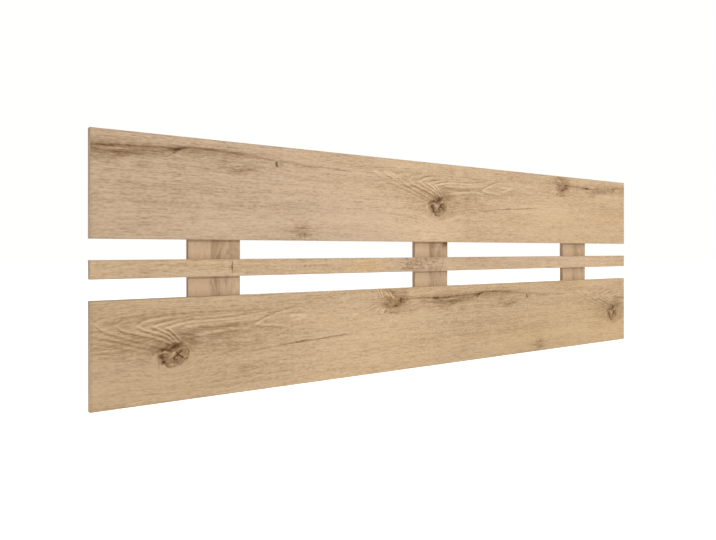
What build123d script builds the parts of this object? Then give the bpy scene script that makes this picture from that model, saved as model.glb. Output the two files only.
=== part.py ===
"""A slatted wall headboard of edge-banded oak-decor board.

Two wide boards and one narrow slat run the full length of the headboard. Three upright battens
stand behind them and join them with countersunk screws driven from the wall side. The two outer
battens each carry a keyhole hanger plate let in flush with the back, over a pocket for the head
of the wall screw. The two screws of a plate go on through the batten and hold the top board too.

X runs along the length, Y towards the wall and Z up. The origin lies in the wall plane, midway
between the entry holes of the two hanger plates.
"""
import os
from math import radians, tan

from build123d import *

os.makedirs("parts", exist_ok=True)

# The boards that show from the front
board_length = 1600
wide_board_height = 195
slat_height = 34
board_gap = 38
board_thickness = 16

# The battens behind them
batten_width = 108
batten_thickness = 10
batten_end_overhang = 180
batten_end_setback = 20

# The edging glued round every cut edge that shows
band_thickness = 1
band_bevel = 0.5

# The countersunk wood screws, all alike
screw_length = 20
screw_thread_diameter = 3.5
screw_head_diameter = 7
screw_thread_clearance = 0.1
screw_tip_clearance = 0.5
screw_head_sink = 0.25
screw_side_margin = 22
screw_board_margin = 50
countersink_angle = 90

# The keyhole hanger plates
hanger_drop = 80
hanger_width = 30
hanger_height = 80
hanger_thickness = 2
hanger_corner_radius = 6
hanger_screw_inset = 9
keyhole_entry_diameter = 10
keyhole_slot_width = 5
keyhole_travel = 12
recess_clearance = 0.3
head_pocket_margin = 2
head_pocket_depth = 5

# Heights of the boards, from the hanging line at zero
top_edge = hanger_drop
top_board_z = top_edge - wide_board_height / 2
slat_z = top_edge - wide_board_height - board_gap - slat_height / 2
bottom_board_z = slat_z - slat_height / 2 - board_gap - wide_board_height / 2
bottom_edge = bottom_board_z - wide_board_height / 2

# The battens end a little short of the outer edges, so that they don't show above or below
batten_height = top_edge - bottom_edge - 2 * batten_end_setback
batten_z = (top_edge + bottom_edge) / 2
batten_x = board_length / 2 - batten_end_overhang - batten_width / 2

# Depths, from the wall plane at zero forwards to the front of the boards
batten_mid_y = -batten_thickness / 2
board_back_y = -batten_thickness
board_mid_y = board_back_y - board_thickness / 2

# The wall plane seen from behind, where X runs to the left
WALL_PLANE = Plane(origin=(0, 0, 0), x_dir=(-1, 0, 0), z_dir=(0, 1, 0))
BOARD_BACK_PLANE = WALL_PLANE.offset(board_back_y)

screw_hole_radius = screw_thread_diameter / 2 + screw_thread_clearance
countersink_radius = screw_head_diameter / 2 + screw_head_sink + screw_thread_clearance
board_hole_depth = screw_head_sink + screw_length + screw_tip_clearance - batten_thickness

BOARDS = {
    "top_board": (top_board_z, wide_board_height),
    "middle_slat": (slat_z, slat_height),
    "bottom_board": (bottom_board_z, wide_board_height),
}
BATTENS = {"left_batten": -batten_x, "centre_batten": 0, "right_batten": batten_x}
HANGERS = {"left_batten": "left_hanger_plate", "right_batten": "right_hanger_plate"}


def plate_screws(x):
    """The two screws of the hanger plate at this x, near its upper and lower ends."""
    reach = hanger_height / 2 - hanger_screw_inset
    return [(x, keyhole_travel / 2 + side * reach) for side in (-1, 1)]


def paired_screws(x, board_z):
    """Two screws in a wide board at this height, on a diagonal across the batten at this x."""
    across = batten_width / 2 - screw_side_margin
    rise = wide_board_height / 2 - screw_board_margin
    return [(x + side * across, board_z - side * rise) for side in (-1, 1)]


def batten_screws(name):
    """The places, as (x, z), of all screws that are driven through a batten."""
    x = BATTENS[name]
    if name in HANGERS:
        return plate_screws(x) + [(x, slat_z)] + paired_screws(x, bottom_board_z)
    # The centre batten carries no load and keeps the boards in line with one screw each
    return [(x, board_z) for board_z, _ in BOARDS.values()]


def seen_from_behind(places):
    """Turns (x, z) places into points of the wall plane."""
    return [(-x, z) for x, z in places]


def finish(part, name):
    """Labels a finished piece and writes it as a STEP file of the same name."""
    part.label = name
    export_step(part, f"parts/{name}.step")


def edge_band(name, edge_plane, length, depth):
    """Edging that lies just under edge_plane and runs along its x direction, its arrises bevelled."""
    outward = Axis(edge_plane.origin, edge_plane.z_dir)
    run = Axis(edge_plane.origin, edge_plane.x_dir)
    with BuildPart() as band:
        with BuildSketch(edge_plane):
            Rectangle(length, depth)
        extrude(amount=-band_thickness)
        chamfer(band.faces().sort_by(outward)[-1].edges().filter_by(run), band_bevel)
    finish(band.part, name)


def level_edge(z, upward):
    """The plane of a board's upper (upward 1) or lower (upward -1) edge."""
    return Plane(origin=(0, board_mid_y, z), x_dir=(1, 0, 0), z_dir=(0, 0, upward))


def upright_edge(x, y, z, outward):
    """The plane of an end of a board or a side of a batten, facing -X or +X as outward says."""
    return Plane(origin=(x, y, z), x_dir=(0, 0, 1), z_dir=(outward, 0, 0))


def make_board(name, z, height):
    """A board that shows from the front, with blind screw holes in its back and edging all round."""
    places = [place for batten in BATTENS for place in batten_screws(batten)]
    own_places = [(px, pz) for px, pz in places if abs(pz - z) < height / 2]
    with BuildPart() as board:
        with BuildSketch(BOARD_BACK_PLANE):
            with Locations((0, z)):
                Rectangle(board_length - 2 * band_thickness, height - 2 * band_thickness)
        extrude(amount=-board_thickness)
        with BuildSketch(BOARD_BACK_PLANE):
            with Locations(*seen_from_behind(own_places)):
                Circle(screw_hole_radius)
        extrude(amount=-board_hole_depth, mode=Mode.SUBTRACT)
    finish(board.part, name)

    # The long bands are glued on last and cover the ends of the short ones
    edge_band(f"{name}_upper_band", level_edge(z + height / 2, 1), board_length, board_thickness)
    edge_band(f"{name}_lower_band", level_edge(z - height / 2, -1), board_length, board_thickness)
    for side, outward in (("left", -1), ("right", 1)):
        end = upright_edge(outward * board_length / 2, board_mid_y, z, outward)
        edge_band(f"{name}_{side}_band", end, height - 2 * band_thickness, board_thickness)


def make_batten(name, x):
    """A batten with edged sides, raw ends and countersunk holes for the screws into the boards."""
    places = seen_from_behind(batten_screws(name))
    with BuildPart() as batten:
        with BuildSketch(WALL_PLANE):
            with Locations((-x, batten_z)):
                Rectangle(batten_width - 2 * band_thickness, batten_height)
        extrude(amount=-batten_thickness)
        with Locations(*[WALL_PLANE * Location((px, pz, 0)) for px, pz in places]):
            CounterSinkHole(
                radius=screw_hole_radius,
                counter_sink_radius=countersink_radius,
                counter_sink_angle=countersink_angle,
            )
        if name in HANGERS:
            # The plate's recess, and the deeper pocket in which the wall screw's head travels
            with BuildSketch(WALL_PLANE):
                with Locations((-x, keyhole_travel / 2)):
                    RectangleRounded(
                        hanger_width + 2 * recess_clearance,
                        hanger_height + 2 * recess_clearance,
                        hanger_corner_radius + recess_clearance,
                    )
            extrude(amount=-hanger_thickness, mode=Mode.SUBTRACT)
            with BuildSketch(WALL_PLANE):
                with Locations((-x, keyhole_travel / 2)):
                    SlotCenterToCenter(
                        keyhole_travel,
                        keyhole_entry_diameter + 2 * head_pocket_margin,
                        rotation=90,
                    )
            extrude(amount=-hanger_thickness - head_pocket_depth, mode=Mode.SUBTRACT)
    finish(batten.part, name)

    for side, outward in (("left", -1), ("right", 1)):
        flank = upright_edge(x + outward * batten_width / 2, batten_mid_y, batten_z, outward)
        edge_band(f"{name}_{side}_band", flank, batten_height, batten_thickness)


def make_hanger_plate(name, x):
    """A steel plate flush with the batten's back, with a keyhole and two countersunk holes."""
    with BuildPart() as plate:
        with BuildSketch(WALL_PLANE):
            with Locations((-x, keyhole_travel / 2)):
                RectangleRounded(hanger_width, hanger_height, hanger_corner_radius)
        extrude(amount=-hanger_thickness)
        with BuildSketch(WALL_PLANE):
            with Locations((-x, 0)):
                Circle(keyhole_entry_diameter / 2)
            with Locations((-x, keyhole_travel / 2)):
                SlotCenterToCenter(keyhole_travel, keyhole_slot_width, rotation=90)
        extrude(amount=-hanger_thickness, mode=Mode.SUBTRACT)
        places = seen_from_behind(plate_screws(x))
        with Locations(*[WALL_PLANE * Location((px, pz, 0)) for px, pz in places]):
            CounterSinkHole(
                radius=screw_hole_radius,
                counter_sink_radius=countersink_radius,
                counter_sink_angle=countersink_angle,
            )
    finish(plate.part, name)


def make_screw():
    """One countersunk screw on the Y axis, its head just below the wall plane."""
    head_radius = screw_head_diameter / 2
    thread_radius = screw_thread_diameter / 2
    head_top = -screw_head_sink
    cone_foot = head_top - (head_radius - thread_radius) / tan(radians(countersink_angle / 2))
    tip = head_top - screw_length
    with BuildPart() as screw:
        with BuildSketch(Plane.XY):
            with BuildLine():
                Polyline(
                    (0, head_top),
                    (head_radius, head_top),
                    (thread_radius, cone_foot),
                    (thread_radius, tip),
                    (0, tip),
                    close=True,
                )
            make_face()
        revolve(axis=Axis.Y)
    return screw.part


def make_screw_group(name, places, screw):
    """The screws of one batten, as separate solids in one piece file."""
    with BuildPart() as screws:
        with Locations(*[(x, 0, z) for x, z in places]):
            add(screw)
    finish(screws.part, name)


for board_name, (board_z, board_height) in BOARDS.items():
    make_board(board_name, board_z, board_height)

wood_screw = make_screw()
for batten_name, batten_place in BATTENS.items():
    make_batten(batten_name, batten_place)
    make_screw_group(f"{batten_name}_screws", batten_screws(batten_name), wood_screw)

for batten_name, plate_name in HANGERS.items():
    make_hanger_plate(plate_name, BATTENS[batten_name])

print(f"overall height {top_edge - bottom_edge}, from {bottom_edge} to {top_edge}")
print(f"battens {batten_height} high at x = {batten_x}, hanging holes {2 * batten_x} apart")
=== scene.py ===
# %% [markdown]
# # A slatted wall headboard in knotty oak decor
#
# This file dresses a headboard that was built as CAD solids. Two wide boards and a narrow slat
# run across, three upright battens hold them together from behind, and two keyhole plates in the
# battens hang the whole on wall screws.
#
# Furniture board like this is chipboard with a printed decor pressed on both faces and a thin
# edging glued round the cut edges. So most of the lesson is about drawing a believable oak decor
# with nodes alone.

# %% Load the headboard from the CAD
import math

import bpy
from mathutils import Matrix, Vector


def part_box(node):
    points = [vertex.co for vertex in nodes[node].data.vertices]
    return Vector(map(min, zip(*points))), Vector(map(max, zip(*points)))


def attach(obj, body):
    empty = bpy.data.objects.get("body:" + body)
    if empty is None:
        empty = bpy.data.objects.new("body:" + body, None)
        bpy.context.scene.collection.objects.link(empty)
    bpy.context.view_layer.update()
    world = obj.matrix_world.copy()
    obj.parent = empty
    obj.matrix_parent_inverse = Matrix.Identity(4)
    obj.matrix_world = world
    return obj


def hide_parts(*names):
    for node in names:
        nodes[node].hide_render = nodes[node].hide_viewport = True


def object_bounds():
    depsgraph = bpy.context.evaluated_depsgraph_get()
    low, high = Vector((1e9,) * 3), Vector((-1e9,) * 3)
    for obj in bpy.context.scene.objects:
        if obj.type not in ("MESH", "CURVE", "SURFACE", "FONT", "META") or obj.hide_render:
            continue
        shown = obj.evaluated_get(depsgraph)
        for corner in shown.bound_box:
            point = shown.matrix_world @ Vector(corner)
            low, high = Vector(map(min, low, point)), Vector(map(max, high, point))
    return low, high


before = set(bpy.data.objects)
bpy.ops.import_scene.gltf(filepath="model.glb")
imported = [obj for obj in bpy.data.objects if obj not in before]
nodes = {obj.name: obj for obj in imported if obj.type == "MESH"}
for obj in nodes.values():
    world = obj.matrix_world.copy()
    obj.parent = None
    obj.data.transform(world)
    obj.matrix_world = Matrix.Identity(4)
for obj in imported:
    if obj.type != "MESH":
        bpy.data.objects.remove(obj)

cad_low, cad_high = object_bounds()
print(f"{len(nodes)} CAD pieces, box {tuple(cad_low)} to {tuple(cad_high)}")

# %% [markdown]
# ## The camera
#
# The photograph looks along the headboard from its left with a level camera, so upright edges
# stay upright. Its horizon is not in the middle of the frame, which takes a little vertical
# shift. Tilting the camera instead would make the ends lean.

# %% Stand the camera where the photograph was taken
FRAME_WIDTH, FRAME_HEIGHT = 716, 540
FOCAL_PIXELS = 616.4
HORIZON_ROW = 250.1
CAMERA_PLACE = (-1.0195, -1.1783, -0.1352)
CAMERA_TURN = math.radians(34.31)


def in_scene(name, data):
    """A new object that stands in the scene."""
    thing = bpy.data.objects.new(name, data)
    bpy.context.scene.collection.objects.link(thing)
    return thing


camera_data = bpy.data.cameras.new("photo_camera")
camera = in_scene("photo_camera", camera_data)
camera.location = CAMERA_PLACE
camera.rotation_euler = (math.radians(90), 0, -CAMERA_TURN)
camera_data.lens = FOCAL_PIXELS * camera_data.sensor_width / FRAME_WIDTH
camera_data.shift_y = (HORIZON_ROW - FRAME_HEIGHT / 2) / FRAME_WIDTH
bpy.context.scene.camera = camera
print(f"lens {camera_data.lens:.2f} mm, shift {camera_data.shift_y:.4f}")

# %% [markdown]
# ## Numbers that change over a surface
#
# A decor is a long sum: broad tone, streaks, fibres, pores, knots, cracks. Math nodes set by hand
# would hide it in wires. The small class below wraps a node's output, so that `a * 0.3 + b` in
# Python adds the Multiply and Add nodes by itself. `sum` works too. Given a generator, it adds
# each tone before the next is drawn, as the renderer has room for only so many that wait.

# %% Make sums of nodes as easy as sums of numbers
class Tone:
    """A number or vector that changes over the surface: a node's output to be reckoned with."""

    def __init__(self, socket):
        self.socket = socket

    __add__ = __radd__ = lambda self, other: reckon("ADD", self, other)
    __mul__ = __rmul__ = lambda self, other: reckon("MULTIPLY", self, other)
    __sub__ = lambda self, other: reckon("SUBTRACT", self, other)
    __rsub__ = lambda self, other: reckon("SUBTRACT", other, self)
    __truediv__ = lambda self, other: reckon("DIVIDE", self, other)


def feed(socket, value):
    """Links a Tone to a node's input, or types a plain value into it."""
    if isinstance(value, Tone):
        socket.id_data.links.new(value.socket, socket)
    else:
        socket.default_value = value


def feed_all(node, inputs):
    """Feeds several inputs of one node. inputs says what goes into which socket."""
    for name, value in inputs.items():
        feed(node.inputs[name], value)


def new_node(kind, inputs, **settings):
    """A node in the tree of the tones that feed it."""
    tree = next(value.socket.id_data for value in inputs.values() if isinstance(value, Tone))
    node = tree.nodes.new(kind)
    for name, setting in settings.items():
        setattr(node, name, setting)
    feed_all(node, inputs)
    return node


def reckon(operation, *values):
    """One Math node. At least one of the values is a Tone."""
    node = new_node("ShaderNodeMath", dict(enumerate(values)), operation=operation)
    return Tone(node.outputs[0])


print("sums ready")

# %% [markdown]
# Places are vectors, three numbers at once. Each new material starts from its Object
# coordinates, in metres.

# %% Do the same with vectors
def reckon_vector(operation, *values, output=0):
    """One Vector Math node."""
    node = new_node("ShaderNodeVectorMath", dict(enumerate(values)), operation=operation)
    return Tone(node.outputs[output])


def length_of(vector):
    return reckon_vector("LENGTH", vector, output=1)


def scaled(vector, factor):
    """A vector made longer or shorter by a factor. At least one of the two is a Tone."""
    inputs = {"Vector": vector, "Scale": factor}
    return Tone(new_node("ShaderNodeVectorMath", inputs, operation="SCALE").outputs[0])


def joined(x, y, z=0.0):
    """A vector from three tones or numbers."""
    return Tone(new_node("ShaderNodeCombineXYZ", {"X": x, "Y": y, "Z": z}).outputs[0])


def parted(vector):
    """The three tones of a vector."""
    return [Tone(output) for output in new_node("ShaderNodeSeparateXYZ", {0: vector}).outputs]


def new_material(name):
    """An empty material and its shader, with the Object coordinates as a Tone."""
    material = bpy.data.materials.new(name)
    material.use_nodes = True
    tree = material.node_tree
    position = Tone(tree.nodes.new("ShaderNodeTexCoord").outputs["Object"])
    return material, tree.nodes["Principled BSDF"], position


print("vectors ready")

# %% [markdown]
# Three shapes do nearly all the drawing. A soft step marks off a part of the board, a bell makes
# a soft line or spot, and noise that is drawn out along the grain looks like wood.

# %% Shape steps, bells and streaks
SEED_STEP = (7.31, 3.17)


def ramp_up(tone, low, high):
    """0 below low, 1 above high and a soft step between them."""
    inputs = {"Value": tone, "From Min": low, "From Max": high}
    return Tone(new_node("ShaderNodeMapRange", inputs, interpolation_type="SMOOTHSTEP").outputs[0])


def between(tone, start, end):
    """1 from start to end, which are soft steps, and 0 outside."""
    return ramp_up(tone, *start) * (1 - ramp_up(tone, *end))


def bell(offset):
    """1 where offset is 0, falling softly to 0 on both sides, about 0.37 at 1."""
    return reckon("EXPONENT", offset * offset * -1.0)


def near(tone, middle, reach):
    """A bell round middle, down to about 0.37 at the distance reach from it."""
    return bell((tone - middle) / reach)


def streaks(place, per_metre_along, per_metre_across, detail, seed, roughness=0.5):
    """Noise that is drawn out along the grain, about 0 and mostly within 0.5 either way."""
    stretch = (per_metre_along, per_metre_across, 0)
    shift = (seed * SEED_STEP[0], seed * SEED_STEP[1], 0)
    stretched = reckon_vector("MULTIPLY_ADD", place, stretch, shift)
    inputs = {"Vector": stretched, "Scale": 1.0, "Detail": detail, "Roughness": roughness}
    return Tone(new_node("ShaderNodeTexNoise", inputs, noise_dimensions="2D").outputs["Fac"]) - 0.5


print("shapes ready")

# %% [markdown]
# ## Floor, room and lights
#
# In use the headboard hangs on a wall, but the photograph shows it alone on white. A wide white
# floor a good way below it and a white world give that ground and a soft light from all round.
# The lens sees both brighter than the board does: a Light Path node tells its rays from the rest.

# %% Lay the floor
FLOOR_DROP = 0.45
FLOOR_GLOW, FLOOR_GLOW_SEEN = 0.35, 0.8


def lit_or_seen(tree, lit, seen):
    """A number that is lit where it lights the board, and seen where the lens sees it."""
    by_lens = Tone(tree.nodes.new("ShaderNodeLightPath").outputs["Is Camera Ray"])
    return by_lens * (seen - lit) + lit


bpy.ops.mesh.primitive_circle_add(
    vertices=96, radius=40, fill_type="NGON", location=(0, 0, cad_low.z - FLOOR_DROP)
)
floor = bpy.context.object
floor.name = "studio_floor"
floor_paint, shader, _ = new_material("white_floor")
floor.data.materials.append(floor_paint)
feed_all(shader, {
    "Base Color": (0.93, 0.93, 0.925, 1),
    "Roughness": 0.9,
    "Emission Color": (1, 1, 0.99, 1),
    "Emission Strength": lit_or_seen(shader.id_data, FLOOR_GLOW, FLOOR_GLOW_SEEN),
})
print("floor", FLOOR_DROP, "m below")

# %% Whiten the room
ROOM_LIGHT, ROOM_LIGHT_SEEN = 0.40, 1.0
ROOM_COLOUR, ROOM_COLOUR_SEEN = (0.985, 0.99, 1), (1, 1, 0.985)

bpy.context.scene.view_settings.view_transform = "Standard"
room = bpy.data.worlds.new("white_room")
bpy.context.scene.world = room
room.use_nodes = True
white = room.node_tree.nodes["Background"].inputs
parts = zip(ROOM_COLOUR, ROOM_COLOUR_SEEN)
feed(white["Color"], joined(*(lit_or_seen(room.node_tree, lit, seen) for lit, seen in parts)))
feed(white["Strength"], lit_or_seen(room.node_tree, ROOM_LIGHT, ROOM_LIGHT_SEEN))
print("room light on the board:", ROOM_LIGHT)

# %% [markdown]
# A low, softened sun from the right makes the thin shadow lines that the boards throw on the
# battens, and leaves the battens' left sides dark.

# %% Hang the low sun
SUN_TURN = math.radians(36)
SUN_HEIGHT = math.radians(13)

sun_data = bpy.data.lights.new("low_sun", "SUN")
sun_data.energy = 1.24
sun_data.color = (1.0, 0.97, 0.92)
sun_data.angle = math.radians(6)
sun = in_scene("low_sun", sun_data)
sun.rotation_euler = (math.radians(90) - SUN_HEIGHT, 0, SUN_TURN)
print(f"sun {math.degrees(SUN_HEIGHT):.0f} degrees high")

# %% [markdown]
# Three soft boxes do the rest: one above lights the middle, a warm one at the right makes that
# end brighter and yellower, and one behind lights the back for the views from there.

# %% Stand the soft boxes
# Name, place, the place that it faces, width, height, watts and colour
SOFT_BOXES = (
    ("top_box", (-0.1, -1.1, 0.85), (-0.05, 0, 0.0), 0.8, 0.6, 3.8, (0.98, 0.985, 1.0)),
    ("warm_box", (1.25, -1.0, 0.85), (0.8, 0, -0.1), 0.8, 0.6, 4.5, (1.0, 0.91, 0.62)),
    ("back_box", (0.7, 1.8, 0.9), (0.1, 0, -0.15), 1.2, 0.8, 22, (1.0, 0.98, 0.95)),
)
for name, place, aim, width, height, watts, colour in SOFT_BOXES:
    lamp_data = bpy.data.lights.new(name, "AREA")
    lamp_data.shape = "RECTANGLE"
    lamp_data.size, lamp_data.size_y = width, height
    lamp_data.energy, lamp_data.color = watts, colour
    lamp = in_scene(name, lamp_data)
    lamp.location = place
    lamp.rotation_euler = (Vector(aim) - Vector(place)).to_track_quat("-Z", "Y").to_euler()
    print(f"{name}: {watts} W")

# %% [markdown]
# ## The lane of oak decor
#
# A decor is printed from a roller, so it comes round again: one big knot shows near both ends of
# the bottom board and on the top board, always at the same height. So both boards come from the
# same lane of the roll, and the top one starts further along it. The decor is drawn once, over
# the lane's own coordinates in metres: `along` from the left end of the bottom board, and `down`
# from the upper edge of either board.

# %% Find where each board lies in the lane
LANE_REPEAT = 1.397
LANE_SEAM = -0.091
TOP_BOARD_START = 0.766
LANE_DRAW = 0.12
LEFT_END = cad_low.x
BOARD_LENGTH = cad_high.x - cad_low.x
TOP_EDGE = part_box("top_board_upper_band")[1].z
BOTTOM_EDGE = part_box("bottom_board_upper_band")[1].z
SLAT_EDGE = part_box("middle_slat_upper_band")[1].z


def from_left_end(x):
    """Metres of decor from the left end to x, drawn out on the left and pushed together on the
    right, so that the knots stand where the photograph has them."""
    share = (x - LEFT_END) / BOARD_LENGTH
    return share * BOARD_LENGTH / (1 + LANE_DRAW - share * LANE_DRAW)


def lane_place(x, z):
    """Where a point of a wide board lies in the lane, along (unfolded) and down. The third tone is
    1 on the top board and 0 on the bottom board."""
    on_top = reckon("GREATER_THAN", z, SLAT_EDGE)
    along = from_left_end(x) + on_top * TOP_BOARD_START
    board_step = TOP_EDGE - BOTTOM_EDGE
    down = reckon("MULTIPLY_ADD", on_top, board_step, BOTTOM_EDGE - z)
    return along, down, on_top


print(f"the lane repeats every {LANE_REPEAT} m")

# %% [markdown]
# ## Light flames and dark cracks
#
# Where a branch grew, the year rings of the board are pulled into long flames: pale lines with a
# darker line on their outer side, nested in one another. One RGB Curves node holds such a line:
# its red curve is the height of the line, its green curve how pale it is, and its blue curve how
# dark its outer side is. Lines that don't overlap share a node.

# %% List the flames above and below the knot
MM = 0.001
# Each line is a list of (along mm, down mm, paleness, darkness of its outer side)
UPPER_FLAMES = [
    [[(-62, 33, .6, .2), (-50, 34, .8, .3), (-38, 36, .5, .3)],
     [(9, 39, .5, .5), (13, 36, .5, .5), (22, 34, .3, .4), (40, 33, .1, .2)],
     [(288, 60, .9, .5), (300, 54, .8, .7), (313, 48, .6, .8), (330, 42, .4, .8),
      (346, 38, .3, .6), (366, 35, .2, .5), (390, 34, .1, .3)],
     [(530, 53, .5, .2), (545, 49, .5, .3), (560, 44, .4, .3), (570, 41, .2, .2)]],
    [[(-22, 33, .4, .3), (-8, 35, .6, .4), (2, 37, .4, .3)],
     [(42, 46, .6, .8), (42.5, 42, .6, .8), (48, 39, .4, .5), (62, 36, .2, .3), (80, 34, .1, .2)],
     [(146, 60, .3, .1), (152, 56, .6, .3), (170, 54, .6, .3), (200, 53.5, .5, .4),
      (233, 53, .5, .5), (262, 50, .5, .5), (284, 47, .3, .4), (300, 44, .1, .2)],
     [(362, 47, .8, .4), (378, 48, .9, .4), (398, 48, .7, .3)]],
    [[(74, 49, .9, .8), (82, 43, .8, .7), (96, 39, .7, .6), (110, 37, .4, .5), (140, 35, .2, .4),
      (185, 34, .15, .4), (240, 33, .1, .3), (290, 31, .1, .2)],
     [(368, 58, .5, .4), (380, 55, .7, .5), (396, 52, .5, .3)]],
    [[(101, 52, .9, .9), (113, 48, .9, .8), (130, 45, .8, .7), (141, 43, .5, .6),
      (160, 41, .3, .6), (200, 39, .2, .5), (250, 37, .2, .4), (300, 35, .15, .3),
      (330, 33, .1, .2)]],
    [[(123, 55.5, 1, .9), (131, 53, 1, .9), (143, 50, 1, .8), (166, 47, .9, .7),
      (200, 46.5, .8, .6), (233, 46.5, .8, .6), (250, 45, .8, .6), (270, 43, .6, .6),
      (286, 41, .4, .5), (310, 38, .2, .3)]],
]
LOWER_FLAMES = [
    [[(-62, 33, .4, .4), (-54, 37, .4, .5), (-44, 42, .2, .4), (-34, 46, .1, .3)],
     [(9, 39, .6, .5), (12, 45, .6, .6), (18, 50, .5, .6), (30, 57, .4, .5), (56, 68, .4, .6),
      (80, 77, .4, .6), (100, 85, .3, .5), (118, 92, .2, .4)],
     [(156, 76, .2, .1), (170, 74, .5, .2), (186, 72, .6, .2), (213, 69, .6, .3),
      (235, 67, .5, .3), (253, 66, .5, .2), (275, 66, .4, .2)],
     [(289, 60, .8, .4), (300, 61.5, .6, .4), (318, 63, .4, .3), (334, 65, .3, .3),
      (352, 67, .2, .2)]],
    [[(-33, 33, .9, .4), (-22, 37, .9, .6), (-12, 42, .9, .7), (-4, 46, .5, .5), (3, 50, .2, .3)],
     [(42, 46, .8, .8), (44, 50, .8, .8), (52, 55, .7, .7), (68, 60, .6, .7), (88, 66, .6, .7),
      (108, 74, .5, .7), (129, 84, .3, .6)]],
    [[(-18, 33, .5, .3), (-6, 38, .6, .5), (2, 43, .4, .4)],
     [(74, 49, 1, .9), (82, 55, .9, .8), (99, 61, .8, .8), (119, 69, .7, .8), (133, 81, .5, .7)]],
    [[(101, 52, 1, .9), (112, 58, .9, .9), (122, 64, .8, .8), (130, 70, .7, .8),
      (138, 82, .6, .6)]],
    [[(123, 55.5, 1, 1), (128, 59, 1, 1), (134, 66, 1, 1), (143, 76, .7, .7), (146, 79, .2, .3)]],
    [[(-30, 50, .1, .2), (0, 58, .3, .35), (30, 67, .3, .4), (60, 78, .3, .4), (96, 90, .2, .3)]],
    [[(-20, 64, .1, .2), (25, 75, .3, .3), (55, 86, .3, .3), (90, 97, .2, .2)]],
]
print(len(UPPER_FLAMES) + len(LOWER_FLAMES), "layers of flames")

# %% Draw the pale flames
CURVE_HEIGHT = 0.2
LINE_END_FADE = 0.003


def line_curves(lane_share, lines):
    """The height, first and second strength of the lines of one layer, as three tones."""
    everywhere = joined(lane_share, lane_share, lane_share)
    node = new_node("ShaderNodeRGBCurve", {"Color": everywhere})
    fade = LINE_END_FADE / LANE_REPEAT
    spots = [[], [(0, 0)], [(0, 0)]]
    for line in lines:
        shares = [(along * MM - LANE_SEAM) / LANE_REPEAT for along, *_ in line]
        for share, (_, down, first, second) in zip(shares, line):
            spots[0].append((share, down * MM / CURVE_HEIGHT))
            spots[1].append((share, first))
            spots[2].append((share, second))
        for strengths in spots[1:]:
            strengths.insert(-len(line), (shares[0] - fade, 0))
            strengths.append((shares[-1] + fade, 0))
    for curve, curve_spots in zip(node.mapping.curves, spots):
        curve.points[0].location = (0, curve_spots[0][1])
        curve.points[1].location = (1, curve_spots[-1][1])
        for spot in curve_spots:
            if 0 < spot[0] < 1:
                curve.points.new(*spot)
        for point in curve.points:
            point.handle_type = "VECTOR"
    node.mapping.update()
    height, first, second = parted(Tone(node.outputs["Color"]))
    return height * CURVE_HEIGHT, first, second


FLAME_HALF_WIDTH = 0.0021
PALE_WIDENING = 1 / 0.85
# How far beside the pale line the dark one lies, in half widths, and how strong it is
DARK_SIDE_STEP, DARK_SIDE_STRENGTH = 2.1, 0.75


def flame(lane_share, down, outer_side, lines):
    """Pale lines, each with a dark line on its outer side: -1 above it, 1 below it."""
    height, pale, dark = line_curves(lane_share, lines)
    offset = (down - height) / FLAME_HALF_WIDTH
    dark_line = bell(offset - outer_side * DARK_SIDE_STEP) * dark
    return bell(offset / PALE_WIDENING) * pale - dark_line * DARK_SIDE_STRENGTH


print("flames reach", FLAME_HALF_WIDTH, "m to each side")

# %% [markdown]
# Cracks and dark streaks are the same kind of line without the pale part. Their blue curve holds
# how wide they are instead, because a crack swells and thins as it runs.

# %% Draw the dark streaks and cracks
WIDEST_STREAK, THINNEST_STREAK = 0.008, 0.0002
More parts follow.
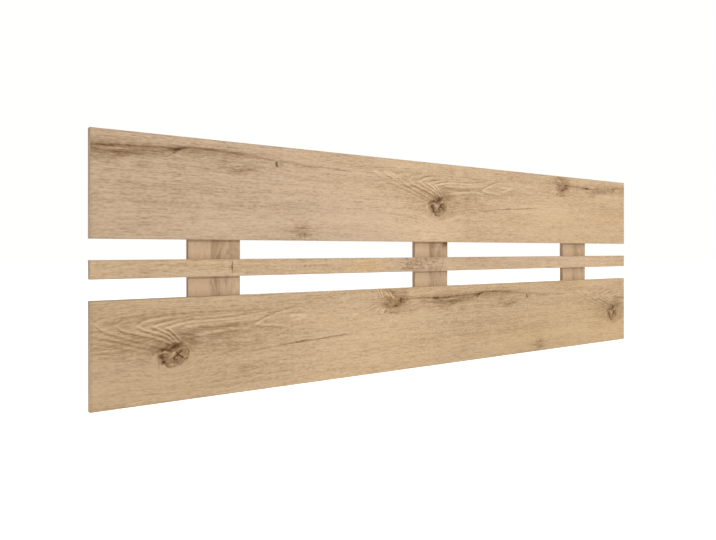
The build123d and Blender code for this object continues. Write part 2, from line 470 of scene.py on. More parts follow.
# Each line is a list of (along mm, down mm, darkness, width as a share of the widest)
STREAKS = [
    [[(276, 113, .3, .2), (300, 113, .35, .2), (325, 110, .25, .2), (341, 108, .35, .15),
      (372, 106, .5, .15), (380, 105, .9, .2), (392, 104, .7, .2), (410, 104, .25, .15),
      (424, 103, .55, .15), (443, 101, .7, .17), (470, 100, .75, .17), (500, 98, .55, .15),
      (523, 97, .3, .12), (540, 96, .1, .1)],
     [(640, 30, .3, .3), (660, 26, .3, .4), (690, 26, .3, .3), (700, 27, .5, .22),
      (742, 29, .7, .22), (748, 29.5, 1, .3), (762, 29.5, 1, .3), (768, 30, .7, .22),
      (790, 29, .55, .25), (815, 26, .5, .3), (840, 25, .3, .3), (860, 24, .4, .25),
      (890, 24, .5, .25), (899, 24, .6, .25), (910, 22, .8, .25), (925, 21, .5, .3),
      (968, 19, .55, .3), (990, 21, .4, .3), (1020, 23, .3, .3), (1054, 25, .3, .25),
      (1080, 28, .25, .3), (1101, 29, .3, .25), (1126, 31, .3, .2), (1150, 34, .3, .2),
      (1165, 35, .5, .2), (1185, 36, .6, .15), (1198, 34, .3, .15), (1230, 36, .35, .15),
      (1262, 38, .35, .15), (1280, 40, .1, .15)]],
    [[(215, 117, .25, .2), (235, 112, .3, .2), (254, 108, .2, .2)],
     [(700, 34, .1, .3), (716, 35, .2, .3), (766, 42, .35, .45), (788, 42, .4, .5),
      (809, 39, .45, .5), (831, 35, .35, .4), (852, 31, .2, .3), (874, 31, .2, .3),
      (893, 29, .6, .25), (900, 28, .95, .25), (906, 25, .9, .25), (910, 23, .4, .2)],
     [(1135, 170, .1, .4), (1150, 168, .3, .5), (1172, 168, .1, .4)]],
    [[(766, 54, .3, .4), (795, 50, .3, .4), (824, 43, .3, .4), (852, 38, .25, .3),
      (880, 34, .2, .3)],
     [(1010, 56, .1, .4), (1020, 56, .3, .45), (1040, 54.5, .3, .4), (1055, 54, .1, .3)],
     [(1115, 62, .1, .2), (1170, 64, .3, .2), (1226, 66, .1, .2)],
     [(1230, 184, .1, .2), (1250, 183, .1, .2)]],
    [[(-80, 124, .1, .25), (0, 130, .25, .25), (88, 141, .15, .25)],
     [(1140, 184, .1, .4), (1158, 183, .4, .5), (1176, 183, .1, .4)]],
]


def dark_streak(lane_share, down, lines):
    """Dark lines whose width follows the third curve."""
    height, strength, width = line_curves(lane_share, lines)
    return bell((down - height) / (width * WIDEST_STREAK + THINNEST_STREAK)) * strength


print(len(STREAKS), "layers of dark streaks")

# %% [markdown]
# Soft brown clouds lie round the knots and where the wood was stained. Each is a bell over an
# ellipse, so that one short list holds them all. Negative strengths make pale clouds.

# %% Lay soft brown clouds
# (along, down, half length, half height) in mm, and strength
CLOUDS = [
    (60, 74, 75, 16, .05), (125, 84, 45, 12, .13), (178, 63, 36, 8, .11), (240, 61, 62, 7, .07),
    (60, 36, 110, 13, .05), (165, 82, 10, 8, .14), (235, 96, 100, 16, .07),
    (260, 152, 140, 34, .04), (380, 57, 230, 12, .035), (95, 112, 60, 20, .05),
    (630, 34, 30, 17, .24), (622, 12, 30, 11, .18), (656, 22, 14, 16, .1), (600, 55, 60, 10, .06),
    (700, 45, 90, 12, .05), (812, 38, 55, 7, .14), (830, 27, 190, 10, .13), (985, 22, 60, 9, .08),
    (1015, 52, 55, 14, .1), (1155, 172, 30, 18, .12), (900, 120, 330, 60, .05),
    (150, 70, 230, 45, .075), (700, 15, 750, 18, .025), (560, 125, 200, 60, -.05),
    (1310, 125, 110, 50, -.08), (1330, 24, 70, 18, .05),
]


def cloud(place, along, down, half_length, half_height, strength):
    """One soft ellipse in the folded lane. Its place and size are in mm."""
    away = reckon_vector("SUBTRACT", place, (along * MM, down * MM, 0))
    # A cloud near one end of the lane also shows at the other, as the roller comes round
    furthest = LANE_REPEAT / 2
    away = reckon_vector("WRAP", away, (furthest, 1, 1), (-furthest, -1, -1))
    shaped = reckon_vector("MULTIPLY", away, (1 / (half_length * MM), 1 / (half_height * MM), 0))
    square = reckon_vector("DOT_PRODUCT", shaped, shaped, output=1)
    return reckon("EXPONENT", square * -1.0) * strength


print(len(CLOUDS), "clouds")

# %% [markdown]
# ## The big knot
#
# A knot is a branch cut across. Its rings are small and dark, its outline is bark-brown, and a
# star of black cracks opens in the middle as it dries. It is made of strokes: short straight
# lines with a soft edge, bent by a little noise. So are the smaller knots further along.

# %% List the strokes of the knots
# (from x, from y, to x, to y, half width) in mm from the big knot's centre, and darkness
KNOT_STROKES = [
    (-13, -13, -4, -10, 2.6, .36), (-4, -10, 4, -16, 3.2, .42), (4, -16, 17, -22, 3.0, .42),
    (-30, -4, -25, -9, 2.6, .38), (-25, -9, -15, -11, 2.2, .38), (-18, 0, -15, 9, 3.8, .62),
    (-15, 10, -9, 19, 2.4, .45), (-9, 19, -1, 24, 2.2, .4), (25, -15, 30, -5, 1.4, .35),
    (30, -5, 26, 8, 1.6, .4), (26, 8, 15, 18, 1.3, .35), (15, 18, 2, 24, 1.3, .4),
    (-22, 11, -22, 24, 1.2, .4), (10.5, 0, 2.5, 6, 1.1, 1.3), (10.5, 0, 19, 5.5, 1.0, 1.2),
    (10.5, 0, 15.5, -5.5, 1.0, 1.1), (10.5, 0, 7, -4.5, 1.0, .9), (-4, 5, 3, -3, 1.7, -.45),
    (3, -3, 13, -11, 1.8, -.5), (13, -11, 28, -13, 1.5, -.4), (-20, -4, -12, -7, 1.5, -.4),
    (-12, -7, -3, -3, 1.5, -.35), (2, 12, 12, 9, 1.6, .3), (-4, 12, 0, 18, 1.4, -.3),
]
# The same for the small knots, but in mm along the lane and down
MARKS = [
    (645, 24, 646, 33, 2.6, .55), (648, 34, 656, 35, 2.6, .5), (646, 24, 654, 24, 2.2, .35),
    (624, 44, 632, 41, 3.4, .38), (632, 41, 643, 38, 3.2, .4), (603, 5, 612, 12, 2.2, .35),
    (614, 4, 624, 12, 2.2, .4), (604, 20, 614, 30, 2.4, .3), (600, 35, 615, 47, 2.8, .28),
    (618, 58, 640, 56, 2.2, .25), (662, 28, 690, 27, 1.8, .25), (556, 4, 572, 8, 1.4, .3),
    (576, 3, 583, 18, 1.1, .35), (584, 3, 591, 19, 1.1, .4), (592, 5, 599, 20, 1.1, .4),
    (580, 3, 587, 18, 1.0, -.55), (588, 4, 595, 19, 1.0, -.6), (603, 9, 611, 18, 1.3, -.65),
    (612, 11, 625, 21, 1.5, -.7), (622, 22, 636, 27, 1.4, -.45), (574, 53, 584, 44, 1.3, -.5),
    (580, 55, 588, 48, 1.1, .4), (584, 50, 594, 56, 1.2, -.5), (588, 44, 597, 52, 1.1, -.5),
    (594, 55, 602, 46, 1.3, -.55), (598, 57, 606, 48, 1.2, .5), (514, 53, 526, 55, 1.6, -.4),
    (530, 54, 545, 51, 2.0, .4), (545, 51, 575, 42, 1.6, .35), (606, 57, 640, 60, 1.8, .3),
    (748, 29.5, 762, 29.5, 3.0, .6), (892, 24, 902, 26, 1.6, .4), (900, 32, 910, 26, 2.0, .55),
    (888, 40, 900, 33, 1.4, .35), (1098, 34, 1099, 40, 2.3, 1.3), (1149, 181, 1151, 190, 1.4, .3),
    (1160, 180, 1161, 192, 1.4, .3),
]
print(len(KNOT_STROKES) + len(MARKS), "strokes")

# %% Draw the big knot
STROKE_DEPTH = 0.33


def stroke(place, start_x, start_y, end_x, end_y, half_width, strength):
    """A straight line with a soft edge. Places and sizes are in mm."""
    run = Vector((end_x - start_x, end_y - start_y, 0))
    away = reckon_vector("SUBTRACT", place, (start_x, start_y, 0))
    share = reckon_vector("DOT_PRODUCT", away, run / run.length_squared, output=1)
    share = reckon("MINIMUM", reckon("MAXIMUM", share, 0.0), 1.0)
    from_line = reckon_vector("SUBTRACT", away, scaled(run, share))
    return bell(length_of(from_line) / half_width) * (strength * STROKE_DEPTH)


def all_strokes(place, strokes):
    """The sum of many strokes."""
    return sum(stroke(place, *row) for row in strokes)


KNOT_CENTRE = (0.130, 0.107, 0)
KNOT_HALF = (0.029, 0.0245)
KNOT_FADE = (0.6, 1.15)
KNOT_DARKNESS = 0.20


def big_knot(place, drift):
    """How dark the big knot is, and the distance from its middle, which is 1 on its outline."""
    away = reckon_vector("SUBTRACT", place, KNOT_CENTRE)
    shaped = reckon_vector("MULTIPLY", away, (1 / KNOT_HALF[0], 1 / KNOT_HALF[1], 0))
    round_distance = length_of(shaped)
    in_mm = reckon_vector("MULTIPLY_ADD", away, (1 / MM, 1 / MM, 0), drift)
    mottle = streaks(place, 130, 200, detail=2, seed=14)
    inside = 1 - ramp_up(round_distance, *KNOT_FADE)
    darkness = inside * (mottle * 0.5 + KNOT_DARKNESS)
    darkness = darkness + all_strokes(in_mm, KNOT_STROKES) * (mottle * 1.6 + 1.0)
    return darkness, round_distance


print("the big knot is", round(2000 * KNOT_HALF[0]), "mm long")

# %% [markdown]
# ## From tone to oak
#
# All the parts add up to one tone: 0.5 for plain wood, less for darker, more for paler. A colour
# ramp turns it into browns. A tint then pulls single places to yellow or grey, as no real decor
# keeps one hue.

# %% Mix the oak colours
OAK_RAMP = [
    (0.00, (0.086, 0.031, 0.005)),
    (0.16, (0.197, 0.104, 0.039)),
    (0.34, (0.362, 0.234, 0.129)),
    (0.50, (0.551, 0.390, 0.248)),
    (0.64, (0.642, 0.467, 0.305)),
    (0.85, (0.772, 0.602, 0.423)),
]
# What a warmth of 1 adds to red, green and blue
YELLOW_PULL = (0.3, 0.05, -1.0)


def colour_ramp(tone, stops):
    """Turns a tone into colours. The stops are (tone, colour) in rising order."""
    node = new_node("ShaderNodeValToRGB", {0: tone})
    elements = node.color_ramp.elements
    while len(elements) < len(stops):
        elements.new(0.5)
    for element, (spot, colour) in zip(elements, stops):
        element.position = spot
        element.color = (*colour, 1)
    return Tone(node.outputs["Color"])


def oak_colour(tone, warmth, brightness=1.0):
    """The ramp's brown for this tone, pulled to yellow where warmth is above 0."""
    tint = joined(*(warmth * pull + brightness for pull in YELLOW_PULL))
    return reckon_vector("MULTIPLY", colour_ramp(tone, OAK_RAMP), tint)


print(len(OAK_RAMP), "browns")

# %% [markdown]
# Between the motifs lies plain oak: four kinds of streaks, from broad bands to single flecks, and
# dark pores. The press sinks fibres and pores a little into the surface, which the bump shows.

# %% Grow plain oak
# Kinds of streaks: how many to a metre along the grain and across it, and how broken up they are
BANDS, STRANDS, FIBRES, FLECKS = (2.2, 28, 3), (7, 170, 2), (36, 430, 2), (120, 380, 1)
PORES, PRESSED_FIBRES, SHEEN = (85, 1150, 1), (34, 560, 1), (30, 300, 1)
# Kind, seed and strength of each layer
TISSUE = ((BANDS, 1, 0.15), (STRANDS, 2, 0.17), (FIBRES, 3, 0.30), (FLECKS, 5, 0.22))
PORE_DARKNESS = 0.05


def pores(grain, seed):
    """1 in a pore and 0 between the pores."""
    return ramp_up(streaks(grain, *PORES, seed=seed + 4), 0.1, 0.28)


def wood_tissue(grain, seed=0):
    """The tone of plain oak on its own, about 0."""
    layers = (streaks(grain, *kind, seed=seed + own) * strength for kind, own, strength in TISSUE)
    return sum(layers) - pores(grain, seed) * PORE_DARKNESS


def felt_grain(grain, seed=0):
    """The height of the pressed fibres and pores, for the bump."""
    return streaks(grain, *PRESSED_FIBRES, seed=seed + 3) * 0.7 - pores(grain, seed)


print(len(TISSUE), "layers of streaks")

# %% Mix the matt finish
def set_bump(shader, height, strength, distance):
    """Shades fine grooves that the mesh doesn't have."""
    inputs = {"Strength": strength, "Distance": distance, "Height": height}
    feed(shader.inputs["Normal"], Tone(new_node("ShaderNodeBump", inputs).outputs["Normal"]))


def matt_finish(shader, colour, height, grain, roughness, spread, seed):
    """Gives a shader its colour, its bump and a roughness that changes along the grain."""
    sheen = roughness + streaks(grain, *SHEEN, seed=seed) * spread
    feed_all(shader, {"Base Color": colour, "Roughness": sheen, "Specular IOR Level": 0.32})
    set_bump(shader, height, strength=0.6, distance=0.00008)


print("finish ready")

# %% [markdown]
# ## The wide boards
#
# Nothing in wood is ruled, so each motif is read at a place that slow noise has shifted a little.
# The fibres also part before the big knot and close again behind it, as water does round a pile:
# the distance across the grain is squeezed, the more the nearer the knot is.

# %% Draw the whole lane
STROKE_WANDER_MM = 4
CLOUD_WANDER_ALONG, CLOUD_WANDER_DOWN = 0.02, 0.024
GRAIN_WANDER = 0.006
LINE_WANDER = 0.0025
FLAME_STRENGTH, STREAK_STRENGTH = 0.25, 0.40
FADE_FROM, FADE_TO, FADE = 0.3, 0.7, 0.32


def draw_lane(flat, along, down, x):
    """The tone of the lane with all that lies in it, and the place in its fibres."""
    folded = reckon("WRAP", along, LANE_SEAM + LANE_REPEAT, LANE_SEAM)
    lane_share = (folded - LANE_SEAM) / LANE_REPEAT
    place = joined(folded, down)
    wander_x = streaks(flat, 22, 40, detail=2, seed=11)
    wander_y = streaks(flat, 9, 40, detail=2, seed=12)
    drift = joined(wander_x * STROKE_WANDER_MM, wander_y * STROKE_WANDER_MM)
    knot, round_distance = big_knot(place, drift)
    in_mm = reckon_vector("MULTIPLY_ADD", place, (1 / MM, 1 / MM, 0), drift)

    # The fibres flow round the big knot
    squeeze = 1 - reckon("POWER", reckon("MAXIMUM", round_distance, 1.0), -2.0)
    grain = joined(along, (down - KNOT_CENTRE[1]) * squeeze + wander_y * GRAIN_WANDER)
    tone = wood_tissue(grain) + 0.5
    bent = joined(folded + wander_x * CLOUD_WANDER_ALONG, down + wander_y * CLOUD_WANDER_DOWN)
    tone = tone - sum(cloud(bent, *row) for row in CLOUDS) * (0.8 + wander_x)

    # Motifs are livelier in some places than in others, and fainter towards the right end
    fainter = 1 - ramp_up(x, FADE_FROM, FADE_TO) * FADE
    liveliness = (0.85 + streaks(flat, 40, 120, detail=1, seed=13) * 1.2) * fainter
    at = lane_share, down + wander_y * LINE_WANDER
    flames = sum(flame(*at, -1, lines) for lines in UPPER_FLAMES)
    flames = flames + sum(flame(*at, 1, lines) for lines in LOWER_FLAMES)
    cracks = sum(dark_streak(*at, lines) for lines in STREAKS)
    tone = tone + flames * liveliness * FLAME_STRENGTH - cracks * liveliness * STREAK_STRENGTH
    return tone - (knot + all_strokes(in_mm, MARKS)) * fainter, grain


print("lane ready")

# %% [markdown]
# Slow changes of shade belong to each board, not to the lane. Most of them are painted light and
# shade: the bottom board is painted darker at its ends, and the two boards differ in shade. A thin
# darker rim runs along the edges of each board.

# %% Shade the wide boards
BOARD_SHADE = 0.935
WIDE_BOARD_HEIGHT = BOTTOM_EDGE - cad_low.z
RIM_WIDTH = 0.0035
RIM_DARKNESS = 0.15
END_RIM_WIDENING = 1 / 0.6


def rim(distance):
    """1 on an edge, 0 where the distance to it is more than the rim's width."""
    return 1 - ramp_up(distance, 0.0, RIM_WIDTH)


def from_long_edge(down, height):
    """The distance to the nearer of a board's two long edges."""
    return reckon("MINIMUM", down, height - down)


def painted_board_shade(x, down, on_top):
    """How bright each place of the two wide boards is, with painted light and shade."""
    from_end = (cad_high.x - reckon("ABSOLUTE", x)) / END_RIM_WIDENING
    from_edge = reckon("MINIMUM", from_long_edge(down, WIDE_BOARD_HEIGHT), from_end)
    # Painted shade: the bottom board is paler left of its middle than at its ends,
    # most of all low down
    bottom = near(x, middle=-0.22, reach=0.28) * 0.12 + ramp_up(x, 0.5, 0.7) * 0.03 - 0.06
    bottom = bottom * (ramp_up(down, 0.02, 0.12) * 0.55 + 0.45)
    # The top board is paler below and left of its knot
    top = near(x, middle=-0.04, reach=0.09) * ramp_up(down, 0.05, 0.10) * 0.09 + 0.03
    brightness = BOARD_SHADE - rim(from_edge) * RIM_DARKNESS
    return brightness + on_top * top + (1 - on_top) * bottom


def board_warmth(flat, x, down, on_top):
    """How yellow each place of the two wide boards is, with painted warm light towards the right.
    """
    warmth = streaks(flat, 1.6, 9, detail=2, seed=21) * 0.12 + 0.05
    # Painted warm light: the top board turns yellower towards its right end, and so does the lower
    # right of the bottom board
    warmth = warmth + on_top * (ramp_up(x, -0.7, 0.4) * 0.09 - 0.10)
    warm_light_lower_right = (1 - on_top) * ramp_up(x, 0.0, 0.5) * ramp_up(down, 0.05, 0.13)
    return warmth + warm_light_lower_right * 0.065


print("shades ready")

# %% Put the decor on the wide boards
BOARDS = ("top_board", "middle_slat", "bottom_board")
# Roughness, and how much it changes along the grain
FACE_SHEEN = (0.62, 0.2)


def dress(names, material):
    """Puts one material on CAD pieces."""
    for name in names:
        slots = nodes[name].data.materials
        slots.clear()
        slots.append(material)
    print(material.name, "has", len(material.node_tree.nodes), "nodes, on", *names)


def make_board_oak():
    """The knotty lane, for the faces of both wide boards."""
    material, shader, position = new_material("oak_decor_boards")
    x, _, z = parted(position)
    along, down, on_top = lane_place(x, z)
    flat = joined(along, down)
    tone, grain = draw_lane(flat, along, down, x)
    warmth = board_warmth(flat, x, down, on_top)
    colour = oak_colour(tone, warmth, painted_board_shade(x, down, on_top))
    matt_finish(shader, colour, felt_grain(grain), grain, *FACE_SHEEN, seed=31)
    return material


dress(("top_board", "bottom_board"), make_board_oak())

# %% [markdown]
# ## The slat
#
# The slat was cut from another place of the roll: calmer and a little redder, with one short
# upright crack, a dotted row and a mottled patch.

# %% Draw the slat's own motifs
# In metres from the left end and down from the upper edge
SLAT_CRACK_ALONG, SLAT_CRACK_DOWN = 0.2405, 0.015
DOTS_DOWN, DOTS_START, DOTS_END = 0.016, (0.35, 0.37), (0.42, 0.44)
PATCH_START, PATCH_END = (0.63, 0.67), (0.75, 0.80)


def slat_motifs(flat, along, down, wander):
    """The sum of the crack, the dots and the patch."""
    crack = near(along + wander * 0.002, SLAT_CRACK_ALONG, reach=0.0011)
    crack = crack * near(down, SLAT_CRACK_DOWN, reach=0.010)
    dots = near(down, DOTS_DOWN, reach=0.003) * between(along, DOTS_START, DOTS_END)
    dots = dots * ramp_up(streaks(flat, 110, 10, detail=0, seed=42), 0.0, 0.15)
    patch = between(along, PATCH_START, PATCH_END)
    mottle = streaks(flat, 75, 130, detail=3, seed=43) * patch
    return mottle * 0.52 - patch * 0.10 - crack * 0.42 - dots * 0.10


print("motifs ready")

# %% Put the decor on the slat
SLAT_HEIGHT = SLAT_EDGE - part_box("middle_slat_lower_band")[0].z
SLAT_TONE = 0.49
SLAT_RIM_DARKNESS = 0.12


def make_slat_oak():
    """The calmer lane of the narrow slat."""
    material, shader, position = new_material("oak_decor_slat")
    x, _, z = parted(position)
    along, down = from_left_end(x), SLAT_EDGE - z
    flat = joined(along, down)
    wander = streaks(flat, 12, 60, detail=2, seed=41)
    grain = joined(along, down + wander * 0.004)
    tone = wood_tissue(grain, seed=50) + slat_motifs(flat, along, down, wander) + SLAT_TONE

    yellow = near(along, middle=0.555, reach=0.05) * 0.16
    warmth = streaks(flat, 3, 20, detail=2, seed=44) * 0.25 + yellow
    brightness = 1.0 - near(x, middle=0.16, reach=0.27) * 0.10
    brightness = brightness - rim(from_long_edge(down, SLAT_HEIGHT)) * SLAT_RIM_DARKNESS
    colour = oak_colour(tone, warmth, brightness)
    matt_finish(shader, colour, felt_grain(grain, seed=50), grain, *FACE_SHEEN, seed=45)
    return material


dress(("middle_slat",), make_slat_oak())

# %% [markdown]
# ## The battens
#
# Behind the boards the same decor stands on end. Each batten is pale along its left, darker and
# livelier on its right. One small dark knot shows at the upper right of the centre batten.

# %% Draw the upright decor
BATTENS = ("left_batten", "centre_batten", "right_batten")
BATTEN_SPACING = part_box("right_batten")[0].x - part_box("centre_batten")[0].x
# Where pale turns to lively, in metres from a batten's middle, and half the width of that step
LIVELY_FROM, LIVELY_STEP = -0.009, 0.002
BATTEN_WANDER = 0.006
SWIRL_BEND = 0.035
BATTEN_KNOT_PLACE = (0.047, 0, -0.119)
BATTEN_KNOT_HALF = (0.010, 0.008)


def batten_decor(position):
    """The colour of the upright decor, and the place in its fibres."""
    x, _, z = parted(position)
    across = reckon("WRAP", x, BATTEN_SPACING / 2, -BATTEN_SPACING / 2)
    flat = joined(z, x)
    wander = streaks(flat, 9, 20, detail=2, seed=61) * BATTEN_WANDER
    grain = joined(z, x + wander)
    bent = joined(z, x + streaks(flat, 26, 34, detail=1, seed=62) * SWIRL_BEND)
    swirl = streaks(bent, 14, 120, detail=3, seed=65, roughness=0.55) * 0.34
    darkest = near(across, LIVELY_FROM + 0.010, reach=0.014) * 0.085
    darker_above = ramp_up(z, -0.19, -0.15) * 0.04
    lively = ramp_up(across + wander, LIVELY_FROM - LIVELY_STEP, LIVELY_FROM + LIVELY_STEP)

    tone = wood_tissue(grain, seed=70) * 0.5 + 0.53
    tone = tone + lively * (swirl - darkest - darker_above - 0.03)
    from_knot = reckon_vector("SUBTRACT", position, BATTEN_KNOT_PLACE)
    shape = (1 / BATTEN_KNOT_HALF[0], 0, 1 / BATTEN_KNOT_HALF[1])
    tone = tone - bell(length_of(reckon_vector("MULTIPLY", from_knot, shape))) * 0.3
    warmth = streaks(flat, 5, 12, detail=2, seed=63) * 0.1
    return oak_colour(tone, warmth, 0.965 - x * 0.09), grain


print("battens stand", round(BATTEN_SPACING, 3), "m apart")

# %% [markdown]
# The battens' ends are not edged and the plates' recesses are milled, so raw chipboard shows
# there: glued chips, cut open. Voronoi cells look like that, and also like the crystals in zinc.

# %% Mix the raw chipboard
CHIPS_PER_METRE = (420, 1100, 700)
CHIP_RAMP = ((0.0, (0.20, 0.125, 0.065)), (1.0, (0.62, 0.47, 0.29)))


def cells(place):
    """Cells about 1 wide: a shade for each of them, and the distance from its middle."""
    node = new_node("ShaderNodeTexVoronoi", {"Vector": place, "Scale": 1.0})
    return parted(Tone(node.outputs["Color"]))[0], Tone(node.outputs["Distance"])


def chipboard(position):
    """The colour of pressed chips, cut open, and how deep the surface lies."""
    shade, depth = cells(reckon_vector("MULTIPLY", position, CHIPS_PER_METRE))
    return colour_ramp(shade, CHIP_RAMP), depth


print("chipboard ready")

# %% Put decor and chipboard on the battens
HALF_BATTEN = -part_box("centre_batten")[0].y / 2
FACE_CLOSE = 0.0001
RAW_ROUGHNESS, SMOOTHER_FACE = 0.85, 0.22
CHIP_DEPTH = 2.0


def make_batten_oak():
    """Upright decor on the faces, raw chipboard on the ends and in the recesses."""
    material, shader, position = new_material("oak_decor_battens")
    decor, grain = batten_decor(position)
    chips, chip_depth = chipboard(position)
    y = parted(position)[1]
    facing = Tone(material.node_tree.nodes["Texture Coordinate"].outputs["Normal"])
    level = reckon("GREATER_THAN", reckon("ABSOLUTE", parted(facing)[1]), 0.9)
    from_middle = reckon("ABSOLUTE", y + HALF_BATTEN)
    on_face = level * reckon("GREATER_THAN", from_middle, HALF_BATTEN - FACE_CLOSE)

    mix = new_node("ShaderNodeMix", {0: on_face, 6: chips, 7: decor}, data_type="RGBA")
    height = felt_grain(grain, seed=70) * on_face - chip_depth * (1 - on_face) * CHIP_DEPTH
    roughness = RAW_ROUGHNESS - on_face * SMOOTHER_FACE
    matt_finish(shader, Tone(mix.outputs[2]), height, grain, roughness, spread=0.15, seed=64)
    return material


dress(BATTENS, make_batten_oak())

# %% [markdown]
# ## The edging
#
# The edging is a strip of plastic, one millimetre thick, printed like the decor but plainer. It
# comes off a roll, so its grain always runs along the strip, level or standing.

# %% Print the edging
def make_edging(name, standing, paler=0.0):
    """Edging whose grain runs along X, or along Z where it stands."""
    material, shader, position = new_material(name)
    x, y, z = parted(position)
    # The strip is only millimetres wide, so depth and the other direction are added up to tell
    # one fibre from the next
    grain = joined(z, y + x) if standing else joined(x, y + z)
    tone = wood_tissue(grain, seed=90) * 0.9 + 0.47 + paler
    colour = oak_colour(tone, streaks(grain, 4, 20, detail=1, seed=91) * 0.1)
    height = felt_grain(grain, seed=90)
    matt_finish(shader, colour, height, grain, roughness=0.5, spread=0.15, seed=92)
    return material


level_edging = make_edging("oak_edging_level", standing=False)
standing_edging = make_edging("oak_edging_standing", standing=True, paler=0.07)
# The battens' edging is printed darker: painted shade for their dim sides between the boards
batten_edging = make_edging("oak_edging_battens", standing=True, paler=-0.06)
print("three kinds of edging printed")

# %% [markdown]
# ## Zinc plate
#
# The hanger plates are stamped from zinc-plated sheet. Zinc grows in crystals, so it has faint
# patches that differ in shade, with fine rolling lines across them.

# %% Plate the steel
def make_zinc(name, colour, crystal_size, roughness):
    """Plated steel with crystal patches and fine lines."""
    material, shader, position = new_material(name)
    x, _, z = parted(position)
    patch, _ = cells(scaled(position, 1 / crystal_size))
    lines = streaks(joined(z, x), 60, 4000, detail=2, seed=3)
    shade = scaled(colour, 0.9 + patch * 0.14 + lines * 0.12)
    sheen = roughness + patch * 0.12 + lines * 0.1
    feed_all(shader, {"Base Color": shade, "Roughness": sheen, "Metallic": 1.0})
    set_bump(shader, lines, strength=0.3, distance=0.00002)
    return material


hanger_zinc = make_zinc("hanger_zinc", (0.62, 0.64, 0.66), 0.004, roughness=0.3)
screw_zinc = make_zinc("screw_yellow_zinc", (0.72, 0.60, 0.34), 0.0015, roughness=0.28)
print("zinc ready")

# %% [markdown]
# ## From a CAD piece to a softer one
#
# A CAD piece has knife-sharp edges, while real ones catch the light along a small rounding. So a
# copy of the CAD mesh is merged, its flat triangles become whole faces, and a Bevel modifier
# rounds every edge. The copy stands for the CAD piece, which stays in the frame unseen.

# %% Round the edges of a copy
def select_only(pieces):
    """Selects these pieces alone and makes the first one active, for bpy.ops to work on."""
    bpy.ops.object.select_all(action="DESELECT")
    for piece in pieces:
        piece.select_set(True)
    bpy.context.view_layer.objects.active = pieces[0]


def rounded_copy(node_name, new_name, rounding):
    """A copy of a CAD piece with all its edges rounded."""
    piece = in_scene(new_name, nodes[node_name].data.copy())
    select_only([piece])
    bpy.ops.object.mode_set(mode="EDIT")
    bpy.ops.mesh.select_all(action="SELECT")
    bpy.ops.mesh.remove_doubles(threshold=0.00001)
    bpy.ops.mesh.dissolve_limited(angle_limit=math.radians(1))
    bpy.ops.mesh.normals_make_consistent()
    bpy.ops.object.mode_set(mode="OBJECT")
    bevel = piece.modifiers.new("rounding", "BEVEL")
    bevel.width, bevel.segments = rounding, 2
    bevel.limit_method, bevel.angle_limit = "ANGLE", math.radians(30)
    bpy.ops.object.modifier_apply(modifier=bevel.name)
    bpy.ops.object.shade_smooth_by_angle(angle=math.radians(40))
    return piece


def place_in_frame(piece, material, node_name):
    """Gives a finished piece its material and its place in the frame."""
    piece.data.materials.clear()
    piece.data.materials.append(material)
    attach(piece, "root")
    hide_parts(node_name)
    print(piece.name, len(piece.data.polygons), "faces")


print("rounding ready")

# %% [markdown]
# ## The edging strips
#
# When edging has been glued on, its long edges are routed off at a slant and then scraped round.
# The slant is in the CAD bands already. The rounding softens it and leaves the hair-thin joint
# line between every edging and its board.

# %% Round the edging strips
STRIP_ROUNDING = 0.00018
for edged, sides, edging in (
    (BOARDS, ("upper", "lower"), level_edging),
    (BOARDS, ("left", "right"), standing_edging),
    (BATTENS, ("left", "right"), batten_edging),
):
    for board in edged:
        for side in sides:
            band = f"{board}_{side}_band"
            strip = rounded_copy(band, band.replace("band", "edging"), STRIP_ROUNDING)
            place_in_frame(strip, edging, band)

# %% [markdown]
# ## The keyhole plates
#
# Each is punched from two-millimetre sheet. The punch leaves a small rounding on the edges, the
# plate's bright outline when it is seen from behind.

# %% Round the keyhole plates
PLATE_ROUNDING = 0.0003
for side in ("left", "right"):
    plate = rounded_copy(f"{side}_hanger_plate", f"{side}_keyhole_plate", PLATE_ROUNDING)
    place_in_frame(plate, hanger_zinc, f"{side}_hanger_plate")

# %% [markdown]
# ## The wood screws
#
# All thirteen screws are the same, so one is modelled and copied. It grows from a ring of points:
# each step extrudes the ring along the screw and widens or narrows it, for the countersunk head,
# the shank and the point. The screw stands along Y, its head towards the wall.

# %% Plan the rings of a screw
HEAD_TOP = -0.00025
SCREW_TIP = -0.02025
CORE_RADIUS = 0.00122
# Depth along Y and radius, in metres
HEAD_STATIONS = [
    (HEAD_TOP, 0.00325), (-0.00029, 0.00342), (-0.00037, 0.00338), (-0.00080, 0.00295),
    (-0.00150, 0.00225), (-0.00200, 0.00176), (-0.00235, 0.00148), (-0.00280, 0.00136),
]
THREAD_START, THREAD_END = -0.0034, -0.0196
THREAD_PITCH = 0.0018
RINGS_PER_TURN = 8
# The point is rounded rather than straight, and ends a little blunt
POINT_LENGTH, POINT_CURVE, POINT_BLUNTNESS = 0.0032, 0.8, 0.03


def core_radius(depth):
    """How thick the core is at this depth: even, then tapered to the point."""
    to_tip = (depth - SCREW_TIP) / POINT_LENGTH
    return CORE_RADIUS * min(1.0, max(POINT_BLUNTNESS, to_tip) ** POINT_CURVE)


stations = list(HEAD_STATIONS)
ring_depth = THREAD_START
while ring_depth > SCREW_TIP:
    stations.append((ring_depth, core_radius(ring_depth)))
    ring_depth -= THREAD_PITCH / RINGS_PER_TURN
stations.append((SCREW_TIP, core_radius(SCREW_TIP)))
print(len(stations), "rings")

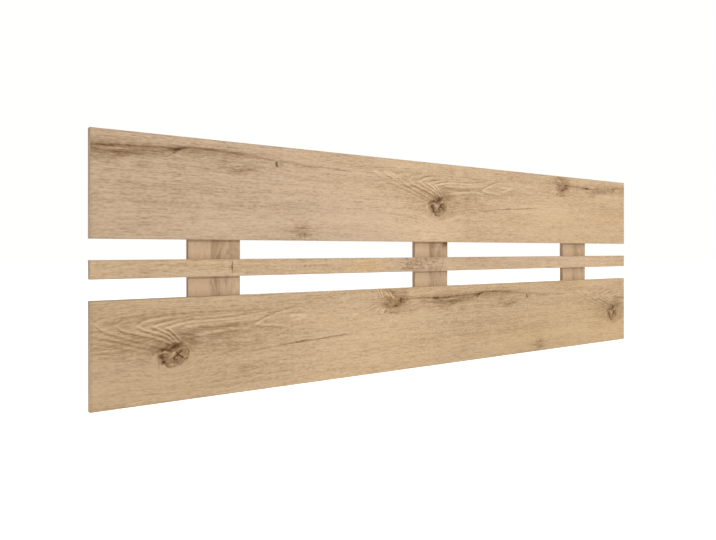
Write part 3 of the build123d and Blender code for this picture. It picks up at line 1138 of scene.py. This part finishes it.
# %% Grow one screw from a ring
bpy.ops.mesh.primitive_circle_add(
    vertices=32, radius=HEAD_STATIONS[0][1],
    location=(0, HEAD_TOP, 0), rotation=(math.radians(90), 0, 0),
)
screw = bpy.context.object
screw.name = "wood_screw"
bpy.ops.object.transform_apply()
bpy.ops.object.mode_set(mode="EDIT")
for (depth, radius), (next_depth, next_radius) in zip(stations, stations[1:]):
    step = (0, next_depth - depth, 0)
    bpy.ops.mesh.extrude_region_move(TRANSFORM_OT_translate={"value": step})
    narrowing = next_radius / radius
    bpy.ops.transform.resize(value=(narrowing, 1, narrowing), center_override=(0, next_depth, 0))
bpy.ops.mesh.select_all(action="SELECT")
bpy.ops.mesh.fill_holes(sides=0)
bpy.ops.mesh.select_all(action="SELECT")
bpy.ops.mesh.normals_make_consistent()
bpy.ops.object.mode_set(mode="OBJECT")
print("bare screw:", len(screw.data.polygons), "faces")

# %% [markdown]
# The thread is a sharp ridge that climbs by one pitch with each turn. So every point of the shank
# moves outwards by a height that depends on its angle and its depth. The ridge fades out below
# the head and towards the point.

# %% Raise the thread
CREST_RADIUS = 0.00173
RIDGE_STEEPNESS = 3.4
HEAD_FADE, POINT_FADE = 0.0008, 0.0024
for vertex in screw.data.vertices:
    x, depth, z = vertex.co
    if not THREAD_END < depth < THREAD_START + HEAD_FADE / 2:
        continue
    turn = math.atan2(z, x) / (2 * math.pi)
    phase = (depth / THREAD_PITCH + turn) % 1.0
    ridge = max(0.0, 1 - abs(phase - 0.5) * RIDGE_STEEPNESS)
    fade = min(1.0, (THREAD_START - depth) / HEAD_FADE, (depth - THREAD_END) / POINT_FADE)
    core = math.hypot(x, z)
    crest = core + (CREST_RADIUS - CORE_RADIUS) * ridge * max(0.0, fade)
    vertex.co = (x * crest / core, depth, z * crest / core)
print("thread", round((THREAD_START - THREAD_END) / THREAD_PITCH, 1), "turns")

# %% [markdown]
# The driver's cross is cut out of the head with two tapered blocks and a Boolean modifier. The
# blocks start a little above the head, because faces that lie in one plane confuse a Boolean.

# %% Cut the cross for the driver
CROSS_SPAN, CROSS_ARM, CROSS_DEPTH = 0.0042, 0.00105, 0.0019
CROSS_TAPER = 0.42
CUT_ABOVE = 0.0004
for turned in (0, 90):
    block_middle = HEAD_TOP + (CUT_ABOVE - CROSS_DEPTH) / 2
    bpy.ops.mesh.primitive_cube_add(size=1, location=(0, block_middle, 0))
    block = bpy.context.object
    block.scale = (CROSS_SPAN, CROSS_DEPTH + CUT_ABOVE, CROSS_ARM)
    block.rotation_euler = (0, math.radians(turned), 0)
    bpy.ops.object.transform_apply()
    for vertex in block.data.vertices:
        if vertex.co.y < block_middle:
            vertex.co.x *= CROSS_TAPER
            vertex.co.z *= CROSS_TAPER
    select_only([screw])
    cut = screw.modifiers.new("driver_cross", "BOOLEAN")
    cut.operation, cut.solver, cut.object = "DIFFERENCE", "EXACT", block
    bpy.ops.object.modifier_apply(modifier=cut.name)
    bpy.data.objects.remove(block)
bpy.ops.object.shade_smooth_by_angle(angle=math.radians(38))
print("whole screw:", len(screw.data.polygons), "faces")

# %% [markdown]
# No two screws stop at the same angle when they are driven home, so each copy is turned a little
# differently. The screws of one batten are joined, as they are one piece in the CAD too.

# %% Drive the screws in
# Places on a batten: across from its middle and height, in metres
OUTER_SCREWS = [(0, 0.037), (0, -0.025), (0, -0.170), (-0.032, -0.275), (0.032, -0.370)]
CENTRE_SCREWS = [(0, -0.0175), (0, -0.170), (0, -0.3225)]
DEGREES_BETWEEN_COPIES = 37
copies = 0
for batten, places in zip(BATTENS, (OUTER_SCREWS, CENTRE_SCREWS, OUTER_SCREWS)):
    low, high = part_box(batten)
    middle = (low.x + high.x) / 2
    group = []
    for across, height in places:
        copy = in_scene(f"{batten}_wood_screws", screw.data.copy())
        copy.location = (middle + across, 0, height)
        copy.rotation_euler = (0, math.radians(DEGREES_BETWEEN_COPIES * copies), 0)
        group.append(copy)
        copies += 1
    select_only(group)
    bpy.ops.object.transform_apply()
    bpy.ops.object.join()
    place_in_frame(group[0], screw_zinc, f"{batten}_screws")
bpy.data.objects.remove(screw)
